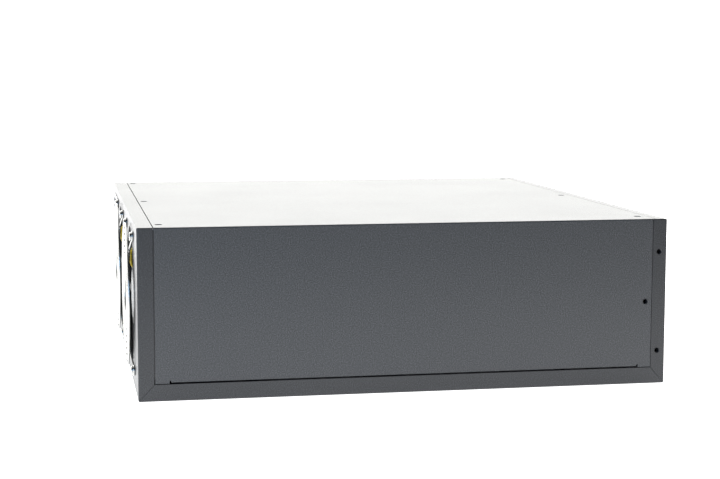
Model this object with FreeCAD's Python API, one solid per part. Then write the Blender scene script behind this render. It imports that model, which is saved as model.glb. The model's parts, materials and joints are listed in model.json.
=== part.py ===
import FreeCAD, Part
import math
import os

# Rack-mount uninterruptible power supply, three rack units high.
# Frame: +Z up, front towards -Y, rear towards +Y, origin on the ground under the middle.
# All sizes are in millimetres.

V = FreeCAD.Vector

# Chassis
WIDTH = 440.0
HEIGHT = 132.0
DEPTH = 417.0
SHEET = 1.5
FOOT_HEIGHT = 3.0
PROUD = 4.7              # how far the guards and the thumb screws stand out of the end panels
CORNER_R = 1.0
REAR_FLANGE = 12.1
FRONT_FLANGE = 11.5
FRONT_TOP_FLANGE = 9.0
BASE_FLANGE = 13.0
REAR_SEAM = 0.7
FRONT_SEAM = 0.4
TAB_GAP = 0.6
MITRE_GAP = 0.25
HEM_GAP = 1.4
HEM_DEPTH = 8.0
LIP = 14.0
NOTCH_FROM_REAR = (24.1, 394.2)
NOTCH_WIDTH = 1.3
NOTCH_HEIGHT = 2.9

HALF_W = WIDTH / 2
FRONT = -DEPTH / 2
REAR = DEPTH / 2
BASE = FOOT_HEIGHT
TOP = BASE + HEIGHT
FLOOR = BASE + SHEET

# Fasteners
CLEARANCE = 0.05
COVER_SCREW_R = 1.5
CASE_SCREW_LENGTH = 3.0
HEAD_DEPTH = 0.8
COVER_SCREW_X = (-198.0, 0.0, 198.0)
COVER_SCREW_REAR_Y = REAR - 17.8
COVER_SCREW_FRONT_Y = FRONT + 17.0
BASE_SCREW_X = (-150.0, 0.0, 150.0)
BASE_SCREW_INSET = 9.0
EAR_BORE_R = 1.75
EAR_NECK_R = 2.35
EAR_COLLAR_R = 3.3
EAR_LENGTH = 6.0
EAR_PITCH = 79.2
EAR_MID_Z = BASE + 66.3
EAR_FLANGE_Y = FRONT + 6.4
EAR_COVER_Y = FRONT + 17.0

# Fans
FAN_X = (-120.0, 55.0)
FAN_Z = BASE + 68.0
FAN_SIZE = 120.0
FAN_DEPTH = 25.0
FAN_BORE_R = 57.5
FAN_PITCH = 105.0
FAN_OPENING_R = 55.0
FAN_HUB_R = 24.0
FAN_SHAFT_R = 1.5
FAN_BLADES = 7
FAN_OUTER_Y = REAR - SHEET
FAN_INNER_Y = FAN_OUTER_Y - FAN_DEPTH
GUARD_WIRE_R = 0.8
GUARD_RING_R = [17.0 + 5.0 * i for i in range(9)]
GUARD_RING_Y = REAR + PROUD - GUARD_WIRE_R
GUARD_LEG_Y = GUARD_RING_Y - 1.3
GUARD_LOOP_R = 3.5
FAN_SCREW_R = 1.8
FAN_SCREW_HEAD = 1.5
FAN_LEAD_R = 1.1
LEAD_CHANNEL = 2.6
LEAD_DIP = 34.0

# Battery drawer
BAY_X = (-213.0, -71.0)
BAY_Z = (BASE + 6.0, BASE + 123.0)
DRAWER_GAP = 0.5
TRAY_X = (-209.2, -74.8)
TRAY_SHEET = 1.2
TRAY_FLOOR_Z = BASE + 8.0
TRAY_WALL = 40.0
TRAY_LENGTH = 312.0
TRAY_FRONT_Y = FRONT + SHEET - 0.2
BATTERY = (65.0, 151.0, 94.0)
BATTERY_GAP = 1.0
STRIP_Z = BASE + 111.0
THUMB_X = (-190.0, -94.0)
THUMB_Z = BASE + 117.0
DIVIDER_X = -68.0

# Front display
BEZEL_X = (84.0, 204.0)
BEZEL_Z = (BASE + 66.0, BASE + 118.0)
BEZEL_OUT = 3.0
WINDOW_X = (92.0, 160.0)
WINDOW_Z = (BASE + 80.0, BASE + 112.0)
KEY_SIZE = (12.0, 8.0)
KEY_OUT = 4.0
KEY_TRAVEL = 1.0
KEY_PLACES = {
    "power_key": (172.0, BASE + 104.0),
    "mute_key": (190.0, BASE + 104.0),
    "scroll_key": (172.0, BASE + 82.0),
    "enter_key": (190.0, BASE + 82.0),
}
LAMP_X = (98.0, 108.0, 118.0)
LAMP_Z = BASE + 75.0
LAMP_R = 1.5
DISPLAY_BOARD_Y = FRONT + 10.0

# Rear sockets
SOCKET_FLANGE = (31.0, 25.4)
SOCKET_BODY = (27.0, 21.0)
SOCKET_MOUTH = (24.2, 16.6)
OUTLET_X = (134.0, 168.0)
OUTLET_Z = (BASE + 84.0, BASE + 112.0)
INLET_PLACE = (134.0, BASE + 24.0)
BREAKER_PLACE = (168.0, BASE + 24.0)
BREAKER_TRAVEL = 2.0
PORT_PROUD = 1.2
FLANGE_PROUD = 0.8
NOSE_PROUD = 2.4
PORT_X = 197.0
SERIAL_Z = BASE + 104.0
USB_Z = BASE + 76.0
NETWORK_Z = (BASE + 41.0, BASE + 57.0)
STOP_Z = BASE + 20.0
BATTERY_PORT = (-32.0, BASE + 76.0)
EARTH_PLACE = (-32.0, BASE + 24.0)

# Electronics
BOARD = 1.6
STANDOFF = 8.5
MAIN_BOARD = (-60.0, 104.0, -150.0, 170.0)
OUTLET_BOARD = (112.0, 210.0, 60.0, 165.0)
BOARD_Z = FLOOR + STANDOFF
BOARD_TOP = BOARD_Z + BOARD
CONTROL_BOARD_X = 96.0


def box(x0, x1, y0, y1, z0, z1):
    return Part.makeBox(x1 - x0, y1 - y0, z1 - z0, V(x0, y0, z0))


def rod(radius, start, end):
    run = end - start
    return Part.makeCylinder(radius, run.Length, start, run)


def joined(shapes):
    whole = shapes[0].fuse(shapes[1:])
    return whole.removeSplitter()


def without(shape, tools):
    return shape.cut(tools)


def rounded_box(x0, x1, y0, y1, z0, z1, radius):
    """Box with its four edges along Y rounded."""
    block = box(x0, x1, y0, y1, z0, z1)
    edges = [e for e in block.Edges if abs(e.tangentAt(e.FirstParameter).y) > 0.99]
    return block.makeFillet(radius, edges)


def round_top(x0, x1, y0, y1, z0, z1, radius):
    """Box with only its two upper edges along Y rounded."""
    block = box(x0, x1, y0, y1, z0, z1)
    edges = [
        e for e in block.Edges
        if abs(e.tangentAt(e.FirstParameter).y) > 0.99 and e.CenterOfMass.z > z1 - 0.01
    ]
    return block.makeFillet(radius, edges)


def folded_box(x0, x1, y0, y1, z0, z1, open_face):
    """Box with every edge rounded by CORNER_R, except those on its open face: a function
    that says whether a point lies on it."""
    block = box(x0, x1, y0, y1, z0, z1)
    edges = [e for e in block.Edges if not open_face(e.CenterOfMass)]
    return block.makeFillet(CORNER_R, edges)


def prism_yz(points, x0, x1):
    """Solid of the outline points (y, z), from x0 to x1."""
    corners = [V(x0, y, z) for y, z in points]
    face = Part.Face(Part.makePolygon(corners + corners[:1]))
    return face.extrude(V(x1 - x0, 0, 0))


def wire_run(points, radius):
    """Round wire along straight runs, with a ball at each bend."""
    pieces = [rod(radius, a, b) for a, b in zip(points, points[1:])]
    pieces += [Part.makeSphere(radius, p) for p in points[1:-1]]
    return joined(pieces) if len(pieces) > 1 else pieces[0]


def aimed(shape, place, direction):
    """Turns a shape drawn along +Z at the origin to start at place and run along direction."""
    shape.Placement = FreeCAD.Placement(place, FreeCAD.Rotation(V(0, 0, 1), direction))
    return shape


def cross_recess(size, depth):
    arm = size / 4
    bars = [
        box(-size, size, -arm, arm, -1, depth),
        box(-arm, arm, -size, size, -1, depth),
    ]
    return joined(bars)


def countersunk_screw(place, direction, radius, length):
    head = Part.makeCone(2 * radius, radius, radius)
    shank = Part.makeCylinder(radius, length)
    screw = without(joined([head, shank]), [cross_recess(radius, 0.6 * radius)])
    return aimed(screw, place, direction)


def countersunk_hole(place, direction, radius, length):
    """Hole for a countersunk screw whose head sits HEAD_DEPTH below place."""
    wide = radius + CLEARANCE
    mouth = 2 * radius + CLEARANCE
    pieces = [
        Part.makeCylinder(mouth, HEAD_DEPTH),
        Part.makeCone(mouth, wide, radius, V(0, 0, HEAD_DEPTH)),
        Part.makeCylinder(wide, length),
    ]
    return aimed(joined(pieces), place, direction)


def pan_screw(place, direction, radius, length, head_height):
    """Screw with a domed head that sits on place."""
    head = Part.makeCylinder(1.95 * radius, head_height, V(0, 0, -head_height))
    rim = [e for e in head.Edges if e.CenterOfMass.z < -0.9 * head_height and len(e.Vertexes) == 1]
    head = head.makeFillet(0.45 * head_height, rim)
    shank = Part.makeCylinder(radius, length)
    recess = cross_recess(radius, 0.0)
    recess.translate(V(0, 0, -0.5 * head_height))
    screw = without(joined([head, shank]), [recess])
    return aimed(screw, place, direction)


# --- Sheet metal -----------------------------------------------------------------------

def end_slab(face_y, inward):
    """Maker of boxes given by their depths in from one end's face; inward is the sign of Y
    towards the middle."""
    def slab(x0, x1, near, far, z0, z1, maker=box, *more):
        ya, yb = sorted((face_y + inward * near, face_y + inward * far))
        return maker(x0, x1, ya, yb, z0, z1, *more)
    return slab


def end_panel(face_y, inward, side_flange, top_flange):
    """Plate across one end. Its flanges wrap the sides and the top, mitred at the bottom
    corners, and a strip runs in along the floor."""
    slab = end_slab(face_y, inward)

    def on_seam(point):
        return abs(point.y - face_y - inward * side_flange) < 0.01

    inner = HALF_W - SHEET
    shell = slab(-HALF_W, HALF_W, 0, side_flange, BASE, TOP, folded_box, on_seam)
    shell = without(shell, [slab(-inner, inner, SHEET, side_flange + 1, BASE - 1, TOP - SHEET)])
    if top_flange < side_flange:
        step = HALF_W - CORNER_R
        shell = without(shell, [slab(-step, step, top_flange, side_flange + 1, TOP - SHEET, TOP + 1)])
    corner = [(0, BASE), (side_flange, BASE + BASE_FLANGE), (side_flange + 1, BASE + BASE_FLANGE),
              (side_flange + 1, BASE - 1), (0, BASE - 1)]
    mitre = prism_yz([(face_y + inward * d, z) for d, z in corner], -HALF_W - 1, HALF_W + 1)
    shell = without(shell, [mitre])

    foot_lip = slab(12 - HALF_W, HALF_W - 12, SHEET - 0.5, BASE_FLANGE + 3, FLOOR, FLOOR + SHEET)
    return joined([shell, foot_lip])


def cover_lips():
    """A lip inside each end panel's flanges that runs on under the cover."""
    inner = HALF_W - SHEET
    bottom = BASE + BASE_FLANGE + 4
    lips = []
    for face_y, inward, flange in ((REAR, -1, REAR_FLANGE), (FRONT, 1, FRONT_FLANGE)):
        slab = end_slab(face_y, inward)
        lip = slab(-inner, inner, flange - 5, flange + LIP, bottom, TOP - SHEET)
        hollow = slab(SHEET - inner, inner - SHEET, flange - 6, flange + LIP + 1,
                      bottom - 1, TOP - 2 * SHEET)
        lips.append(without(lip, [hollow] + cover_screw_holes() + ear_holes()))
    return Part.makeCompound(lips)


def cover_screw_places():
    return [V(x, y, TOP) for y in (COVER_SCREW_REAR_Y, COVER_SCREW_FRONT_Y) for x in COVER_SCREW_X]


def base_screw_places():
    ends = (FRONT + BASE_SCREW_INSET, REAR - BASE_SCREW_INSET)
    return [V(x, y, BASE) for y in ends for x in BASE_SCREW_X]


def cover_screw_holes():
    return [countersunk_hole(p, V(0, 0, -1), COVER_SCREW_R, 12) for p in cover_screw_places()]


def base_screw_holes():
    return [countersunk_hole(p, V(0, 0, 1), COVER_SCREW_R, 8) for p in base_screw_places()]


def ear_places(side):
    """Places of one side's ear inserts, with how much metal each neck passes."""
    x = side * HALF_W
    flange = [(V(x, EAR_FLANGE_Y, EAR_MID_Z + s * EAR_PITCH / 2), SHEET) for s in (-1, 1)]
    return flange + [(V(x, EAR_COVER_Y, EAR_MID_Z), 2 * SHEET)]


def ear_holes():
    """A hole for each insert's neck, and behind it room for its collar."""
    holes = []
    for side in (-1, 1):
        for place, neck in ear_places(side):
            inward = V(-side, 0, 0)
            holes.append(Part.makeCylinder(EAR_NECK_R + CLEARANCE, neck + 1, place - inward, inward))
            holes.append(Part.makeCylinder(EAR_COLLAR_R + CLEARANCE, 8, place + inward * neck, inward))
    return holes


def fan_screw_places(x):
    half = FAN_PITCH / 2
    return [V(x + a * half, REAR, FAN_Z + b * half) for a in (-1, 1) for b in (-1, 1)]


def rear_cutouts():
    deep = SHEET + 2
    start = REAR - SHEET - 1
    cuts = []
    for x in FAN_X:
        cuts.append(Part.makeCylinder(FAN_OPENING_R, deep, V(x, start, FAN_Z), V(0, 1, 0)))
        for p in fan_screw_places(x):
            cuts.append(Part.makeCylinder(2.2, deep, V(p.x, start, p.z), V(0, 1, 0)))

    def window(x, z, w, h):
        cuts.append(box(x - w / 2, x + w / 2, start, start + deep, z - h / 2, z + h / 2))

    for x, z in [INLET_PLACE] + [(x, z) for z in OUTLET_Z for x in OUTLET_X]:
        window(x, z, SOCKET_BODY[0] + 0.4, SOCKET_BODY[1] + 0.4)
    window(PORT_X, SERIAL_Z, 11.0, 19.4)
    window(PORT_X, USB_Z, 12.4, 11.4)
    window(PORT_X, sum(NETWORK_Z) / 2, 14.0, 31.0)
    window(PORT_X, STOP_Z, 12.4, 8.4)
    window(*BATTERY_PORT, 24.4, 38.4)
    for place, radius in ((BREAKER_PLACE, 5.6), (EARTH_PLACE, 2.6)):
        cuts.append(Part.makeCylinder(radius, deep, V(place[0], start, place[1]), V(0, 1, 0)))
    return cuts


def rear_panel():
    panel = end_panel(REAR, -1, REAR_FLANGE, REAR_FLANGE)
    return without(panel, rear_cutouts() + cover_screw_holes() + base_screw_holes())


def front_vents():
    """Rounded upright slots between the drawer and the display, and below the display."""
    slots = []
    rows = [(-52.0, 16, BASE + 22.0, 38.0), (-52.0, 16, BASE + 72.0, 38.0), (92.0, 14, BASE + 18.0, 34.0)]
    for first_x, count, z, height in rows:
        for i in range(count):
            x = first_x + 8.0 * i
            slots.append(rounded_box(x, x + 3.0, FRONT - 1, FRONT + SHEET + 1, z, z + height, 1.45))
    return slots


def front_panel():
    panel = end_panel(FRONT, 1, FRONT_FLANGE, FRONT_TOP_FLANGE)
    strip = box(BAY_X[0] - 2, BAY_X[1] + 2, FRONT + SHEET, FRONT + 2 * SHEET, STRIP_Z, BAY_Z[1] + 4)
    bay = box(BAY_X[0], BAY_X[1], FRONT - 1, FRONT + SHEET, BAY_Z[0], BAY_Z[1])
    display = box(BEZEL_X[0] + 4, BEZEL_X[1] - 4, FRONT - 1, FRONT + SHEET + 1,
                  BEZEL_Z[0] + 4, BEZEL_Z[1] - 4)
    thumbs = [rod(2.2, V(x, FRONT - 1, THUMB_Z), V(x, FRONT + 5, THUMB_Z)) for x in THUMB_X]
    panel = joined([without(panel, [bay]), strip])
    holes = thumbs + front_vents() + cover_screw_holes() + base_screw_holes() + ear_holes()
    return without(panel, [display] + holes)


def top_cover():
    rear_y = REAR - REAR_FLANGE - REAR_SEAM
    front_y = FRONT + FRONT_FLANGE + FRONT_SEAM
    bottom = BASE + BASE_FLANGE
    cover = round_top(-HALF_W, HALF_W, front_y, rear_y, bottom + TAB_GAP, TOP, CORNER_R)
    inner = HALF_W - SHEET
    cover = without(cover, [box(-inner, inner, front_y - 1, rear_y + 1, BASE, TOP - SHEET)])
    tongue_x = HALF_W - CORNER_R - FRONT_SEAM
    tongue_y = FRONT + FRONT_TOP_FLANGE + FRONT_SEAM
    tongue = box(-tongue_x, tongue_x, tongue_y, front_y, TOP - SHEET, TOP)

    notch_y = [REAR - d for d in NOTCH_FROM_REAR]
    hem_y = (notch_y[1] + NOTCH_WIDTH / 2, notch_y[0] - NOTCH_WIDTH / 2)
    hem_z = bottom + HEM_GAP
    relief = [box(-HALF_W - 1, HALF_W + 1, hem_y[0], hem_y[1], BASE, hem_z)]
    for y in notch_y:
        relief.append(rounded_box_x(y, NOTCH_WIDTH, bottom - 2, bottom + NOTCH_HEIGHT))
    hems = [
        box(-HALF_W, HEM_DEPTH - HALF_W, hem_y[0], hem_y[1], hem_z, hem_z + SHEET),
        box(HALF_W - HEM_DEPTH, HALF_W, hem_y[0], hem_y[1], hem_z, hem_z + SHEET),
    ]
    cover = without(joined([cover, tongue]), relief)
    return without(joined([cover] + hems), cover_screw_holes() + ear_holes())


def rounded_box_x(y, width, z0, z1):
    """Upright slot through both sides of the cover, round at its top."""
    r = width / 2
    slot = box(-HALF_W - 1, HALF_W + 1, y - r, y + r, z0, z1 - r)
    crown = rod(r, V(-HALF_W - 1, y, z1 - r), V(HALF_W + 1, y, z1 - r))
    return joined([slot, crown])


def base_pan():
    top = BASE + BASE_FLANGE
    pan = folded_box(-HALF_W, HALF_W, FRONT, REAR, BASE, top, lambda point: point.z > top - 0.01)
    inner = HALF_W - SHEET
    pan = without(pan, [box(-inner, inner, FRONT - 1, REAR + 1, FLOOR, top + 1)])
    middle = HALF_W - 5
    returns = [box(x - 5, x + 5, FRONT, REAR, top - SHEET, top) for x in (-middle, middle)]
    pan = joined([pan] + returns)
    mitres = []
    for face, inward, flange in ((REAR, -1, REAR_FLANGE), (FRONT, 1, FRONT_FLANGE)):
        near, far = MITRE_GAP, flange + MITRE_GAP
        line = [(near, BASE - 1), (near, BASE), (far, top), (far, top + 1), (-1, top + 1), (-1, BASE - 1)]
        mitres.append(prism_yz([(face + inward * d, z) for d, z in line], -HALF_W - 1, HALF_W + 1))
    vents = []
    for i in range(12):
        x = -40.0 + 20.0 * i
        vents.append(box(x, x + 3.0, -60, -20, BASE - 1, FLOOR + 1))
    plugs = [rod(3.0, V(x, y, BASE - 1), V(x, y, FLOOR + 1)) for x, y in foot_places()]
    return without(pan, mitres + vents + plugs + base_screw_holes())


def foot_places():
    return [(a * 170.0, b * 160.0) for a in (-1, 1) for b in (-1, 1)]


def feet():
    solids = []
    for x, y in foot_places():
        pad = Part.makeCone(9.0, 10.0, FOOT_HEIGHT, V(x, y, 0))
        plug = Part.makeCylinder(3.0 - CLEARANCE, SHEET + 0.5, V(x, y, BASE))
        barb = Part.makeCone(3.6, 2.4, 1.5, V(x, y, FLOOR + 0.1))
        solids.append(joined([pad, plug, barb]))
    return Part.makeCompound(solids)


def case_screws():
    """Countersunk screws: six down through the cover, six up through the base."""
    places = [(p, V(0, 0, -1)) for p in cover_screw_places()]
    places += [(p, V(0, 0, 1)) for p in base_screw_places()]
    solids = []
    for place, way in places:
        seat = place + way * HEAD_DEPTH
        solids.append(countersunk_screw(seat, way, COVER_SCREW_R, CASE_SCREW_LENGTH))
    return Part.makeCompound(solids)


def ear_inserts():
    """Flush threaded inserts for the rack ears, three on each side."""
    solids = []
    for side in (-1, 1):
        for place, neck in ear_places(side):
            body = joined([
                Part.makeCylinder(EAR_NECK_R, neck),
                Part.makeCylinder(EAR_COLLAR_R, EAR_LENGTH - neck, V(0, 0, neck)),
            ])
            mouth = Part.makeCone(EAR_BORE_R + 0.4, EAR_BORE_R, 0.4)
            bore = Part.makeCylinder(EAR_BORE_R, EAR_LENGTH)
            solids.append(aimed(without(body, [mouth, bore]), place, V(-side, 0, 0)))
    return Part.makeCompound(solids)


# --- Fans ------------------------------------------------------------------------------

def fan_frame(x):
    half = FAN_SIZE / 2
    frame = rounded_box(x - half, x + half, FAN_INNER_Y, FAN_OUTER_Y, FAN_Z - half, FAN_Z + half, 6.0)
    bore = rod(FAN_BORE_R, V(x, FAN_INNER_Y - 1, FAN_Z), V(x, FAN_OUTER_Y + 1, FAN_Z))
    frame = without(frame, [bore])
    arm_y = (FAN_OUTER_Y - 4, FAN_OUTER_Y)
    reach = FAN_BORE_R + 1
    arms = [
        box(x - reach, x + reach, arm_y[0], arm_y[1], FAN_Z - 2.5, FAN_Z + 2.5),
        box(x - 2.5, x + 2.5, arm_y[0], arm_y[1], FAN_Z - reach, FAN_Z + reach),
    ]
    hub = rod(FAN_HUB_R, V(x, FAN_OUTER_Y - 5, FAN_Z), V(x, FAN_OUTER_Y, FAN_Z))
    post = rod(4.0, V(x, FAN_OUTER_Y - 17, FAN_Z), V(x, FAN_OUTER_Y - 5, FAN_Z))
    frame = joined([frame, hub, post] + arms)
    shaft_bore = rod(FAN_SHAFT_R + CLEARANCE, V(x, FAN_OUTER_Y - 18, FAN_Z), V(x, FAN_OUTER_Y - 3, FAN_Z))
    holes = []
    for p in fan_screw_places(x):
        holes.append(rod(2.2, V(p.x, FAN_INNER_Y - 1, p.z), V(p.x, FAN_OUTER_Y + 1, p.z)))
    wide = FAN_LEAD_R + 0.5
    deep = FAN_OUTER_Y - LEAD_CHANNEL
    edge = FAN_Z + FAN_HUB_R
    spans = [
        (deep, edge - 4.6, edge + 1.6),
        (deep, FAN_Z + LEAD_DIP - 1.0, FAN_Z + half + 1),
        (FAN_INNER_Y - 1, FAN_Z + half - LEAD_CHANNEL, FAN_Z + half + 1),
    ]
    channels = [box(x - wide, x + wide, y, FAN_OUTER_Y + 1, z0, z1) for y, z0, z1 in spans]
    return without(frame, holes + channels + [shaft_bore])


def fan_rotor(x):
    """Hub cup, seven pitched blades and the shaft, behind the frame's arms."""
    back = FAN_INNER_Y + 1.5
    front = FAN_OUTER_Y - 5.6
    cup = rod(FAN_HUB_R - 0.5, V(x, back, FAN_Z), V(x, front, FAN_Z))
    hollow = rod(FAN_HUB_R - 2.5, V(x, back + 3, FAN_Z), V(x, front + 1, FAN_Z))
    shaft = rod(FAN_SHAFT_R, V(x, back + 1, FAN_Z), V(x, FAN_OUTER_Y - 3.5, FAN_Z))
    pieces = [without(cup, [hollow]), shaft]
    ring = rod(FAN_BORE_R - 1.2, V(x, back, FAN_Z), V(x, front, FAN_Z))
    ring = without(ring, [rod(FAN_HUB_R - 1.5, V(x, back - 1, FAN_Z), V(x, front + 1, FAN_Z))])
    for i in range(FAN_BLADES):
        blade = box(-19, 19, -0.8, 0.8, FAN_HUB_R - 2, FAN_BORE_R)
        blade.rotate(V(0, 0, 0), V(0, 0, 1), 34)
        blade.rotate(V(0, 0, 0), V(0, 1, 0), 360.0 * i / FAN_BLADES)
        blade.translate(V(x, (back + front) / 2, FAN_Z))
        pieces.append(blade.common(ring))
    return joined(pieces)


def fan_guard(x):
    """Welded wire finger guard: rings on four bent legs that end in loops round the screws."""
    pieces = [Part.makeTorus(r, GUARD_WIRE_R, V(x, GUARD_RING_Y, FAN_Z), V(0, 1, 0)) for r in GUARD_RING_R]
    corner = FAN_PITCH / 2
    inner = GUARD_RING_R[0] / math.sqrt(2)
    bend = (GUARD_RING_R[-1] + 1.5) / math.sqrt(2)
    stop = corner - GUARD_LOOP_R / math.sqrt(2)
    loop_y = REAR + GUARD_WIRE_R
    for a in (-1, 1):
        for b in (-1, 1):
            route = [(inner, GUARD_LEG_Y), (bend, GUARD_LEG_Y), (stop, loop_y)]
            points = [V(x + a * d, y, FAN_Z + b * d) for d, y in route]
            pieces.append(wire_run(points, GUARD_WIRE_R))
            centre = V(x + a * corner, loop_y, FAN_Z + b * corner)
            pieces.append(Part.makeTorus(GUARD_LOOP_R, GUARD_WIRE_R, centre, V(0, 1, 0)))
    return joined(pieces)


def fan_screws():
    seat = V(0, 2 * GUARD_WIRE_R, 0)
    places = [p + seat for x in FAN_X for p in fan_screw_places(x)]
    return Part.makeCompound([pan_screw(p, V(0, -1, 0), FAN_SCREW_R, 22, FAN_SCREW_HEAD) for p in places])


def fan_lead(x):
    """Lead from the hub, up the upper arm, over the frame and down inside."""
    above = FAN_OUTER_Y + FAN_LEAD_R
    sunk = FAN_OUTER_Y - FAN_LEAD_R - 0.2
    high = FAN_Z + FAN_SIZE / 2 - FAN_LEAD_R - 0.1
    behind = FAN_INNER_Y - 4.0
    points = [
        V(x, sunk, FAN_Z + FAN_HUB_R - 3.2),
        V(x, above, FAN_Z + FAN_HUB_R + 1.0),
        V(x, above, FAN_Z + LEAD_DIP),
        V(x, sunk, FAN_Z + LEAD_DIP + 4.0),
        V(x, sunk, high),
        V(x, behind, high),
        V(x, behind, FAN_Z - 40.0),
    ]
    return wire_run(points, FAN_LEAD_R)


# --- Battery drawer --------------------------------------------------------------------

def battery_tray():
    y0 = TRAY_FRONT_Y
    y1 = y0 + TRAY_LENGTH
    tray = box(TRAY_X[0], TRAY_X[1], y0, y1, TRAY_FLOOR_Z, TRAY_FLOOR_Z + TRAY_WALL)
    cavity = box(TRAY_X[0] + TRAY_SHEET, TRAY_X[1] - TRAY_SHEET, y0 + TRAY_SHEET, y1 - TRAY_SHEET,
                 TRAY_FLOOR_Z + TRAY_SHEET, TRAY_FLOOR_Z + TRAY_WALL + 1)
    return without(tray, [cavity])


def drawer_front():
    gap = DRAWER_GAP
    plate = rounded_box(BAY_X[0] + gap, BAY_X[1] - gap, FRONT, TRAY_FRONT_Y,
                        BAY_Z[0] + gap, BAY_Z[1] - gap, 1.0)
    holes = [rod(2.2, V(x, FRONT - 1, THUMB_Z), V(x, FRONT + 3, THUMB_Z)) for x in THUMB_X]
    slots = []
    for i in range(14):
        x = -188.0 + 7.0 * i
        slots.append(rounded_box(x, x + 3.0, FRONT - 1, TRAY_FRONT_Y + 1, BASE + 60, BASE + 98, 1.45))
    return without(plate, holes + slots)


def thumb_screws():
    """Knurled captive screws that hold the drawer shut."""
    solids = []
    for x in THUMB_X:
        head = rod(5.5, V(x, FRONT - PROUD, THUMB_Z), V(x, FRONT, THUMB_Z))
        flutes = []
        for i in range(16):
            a = 2 * math.pi * i / 16
            p = V(x + 5.6 * math.cos(a), FRONT - PROUD - 1, THUMB_Z + 5.6 * math.sin(a))
            flutes.append(rod(0.5, p, p + V(0, PROUD, 0)))
        slot = box(x - 4.5, x + 4.5, FRONT - PROUD - 1, FRONT - PROUD + 1.2, THUMB_Z - 0.6, THUMB_Z + 0.6)
        shank = rod(2.0, V(x, FRONT, THUMB_Z), V(x, FRONT + 6, THUMB_Z))
        solids.append(joined([without(head, flutes + [slot]), shank]))
    return Part.makeCompound(solids)


def battery_corner(column, row):
    x = TRAY_X[0] + TRAY_SHEET + 0.5 + column * (BATTERY[0] + BATTERY_GAP)
    y = TRAY_FRONT_Y + TRAY_SHEET + 1.0 + row * (BATTERY[1] + BATTERY_GAP)
    return x, y, TRAY_FLOOR_Z + TRAY_SHEET


def batteries():
    """Four sealed twelve-volt blocks, two by two, each with two tab terminals."""
    solids = []
    for column in (0, 1):
        for row in (0, 1):
            x, y, z = battery_corner(column, row)
            w, l, h = BATTERY
            case = box(x, x + w, y, y + l, z, z + h)
            lid_line = [
                box(x - 1, x + 0.4, y - 1, y + l + 1, z + h - 12, z + h - 11),
                box(x + w - 0.4, x + w + 1, y - 1, y + l + 1, z + h - 12, z + h - 11),
            ]
            tabs = [box(x + t - 3.2, x + t + 3.2, y + 9, y + 9.8, z + h, z + h + 5.0) for t in (12, w - 12)]
            solids.append(joined([without(case, lid_line)] + tabs))
    return Part.makeCompound(solids)


def battery_links():
    """Insulated links between neighbouring blocks' terminals, clipped over their tops."""
    w, l, h = BATTERY
    solids = []
    for row in (0, 1):
        x, y, z = battery_corner(0, row)
        solids.append(box(x + w - 12, x + w + BATTERY_GAP + 12, y + 10.0, y + 13.0, z + h, z + h + 3.5))
    for column in (0, 1):
        x, y, z = battery_corner(column, 0)
        edge = x + (8.0 if column == 0 else w - 8.0)
        solids.append(box(edge - 2, edge + 2, y + 14, y + BATTERY[1] + BATTERY_GAP + 8, z + h, z + h + 3.0))
    return Part.makeCompound(solids)


def battery_plug():
    x = (TRAY_X[0] + TRAY_X[1]) / 2
    y = TRAY_FRONT_Y + TRAY_LENGTH
    block = rounded_box(x - 18, x + 18, y, y + 16, BASE + 18, BASE + 38, 2.0)
    ways = [box(x + s - 5, x + s + 5, y + 4, y + 17, BASE + 22, BASE + 34) for s in (-9, 9)]
    return without(block, ways)


def battery_receptacle():
    """Fixed half of the drawer's connector, on a bracket behind the drawer."""
    x = (TRAY_X[0] + TRAY_X[1]) / 2
    y = TRAY_FRONT_Y + TRAY_LENGTH + 17
    bracket = joined([
        box(x - 26, x + 26, y, y + SHEET, FLOOR, BASE + 42),
        box(x - 26, x + 26, y, y + 14, FLOOR, FLOOR + SHEET),
    ])
    body = rounded_box(x - 18, x + 18, y + SHEET, y + 12, BASE + 18, BASE + 38, 2.0)
    blades = [box(x + s - 4, x + s + 4, y - 11, y + 1, BASE + 27, BASE + 29) for s in (-9, 9)]
    return joined([bracket, body] + blades)


def drawer_rails():
    y1 = TRAY_FRONT_Y + TRAY_LENGTH
    rails = []
    for x in (TRAY_X[0] + 3, TRAY_X[1] - 13):
        rails.append(box(x, x + 10, FRONT + 20, y1, FLOOR, TRAY_FLOOR_Z - 0.2))
    return Part.makeCompound(rails)


def divider():
    """Wall between the battery bay and the power electronics, with a foot along the floor."""
    y0, y1 = FRONT + 20, 150.0
    wall = box(DIVIDER_X, DIVIDER_X + SHEET, y0, y1, FLOOR, TOP - 5)
    foot = box(DIVIDER_X, DIVIDER_X + 5, y0, y1, FLOOR, FLOOR + SHEET)
    z = BASE + 100
    holes = [rod(5.0, V(DIVIDER_X - 1, y, z), V(DIVIDER_X + 3, y, z)) for y in (20, 60, 100)]
    return without(joined([wall, foot]), holes)


# --- Front display ---------------------------------------------------------------------

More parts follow.
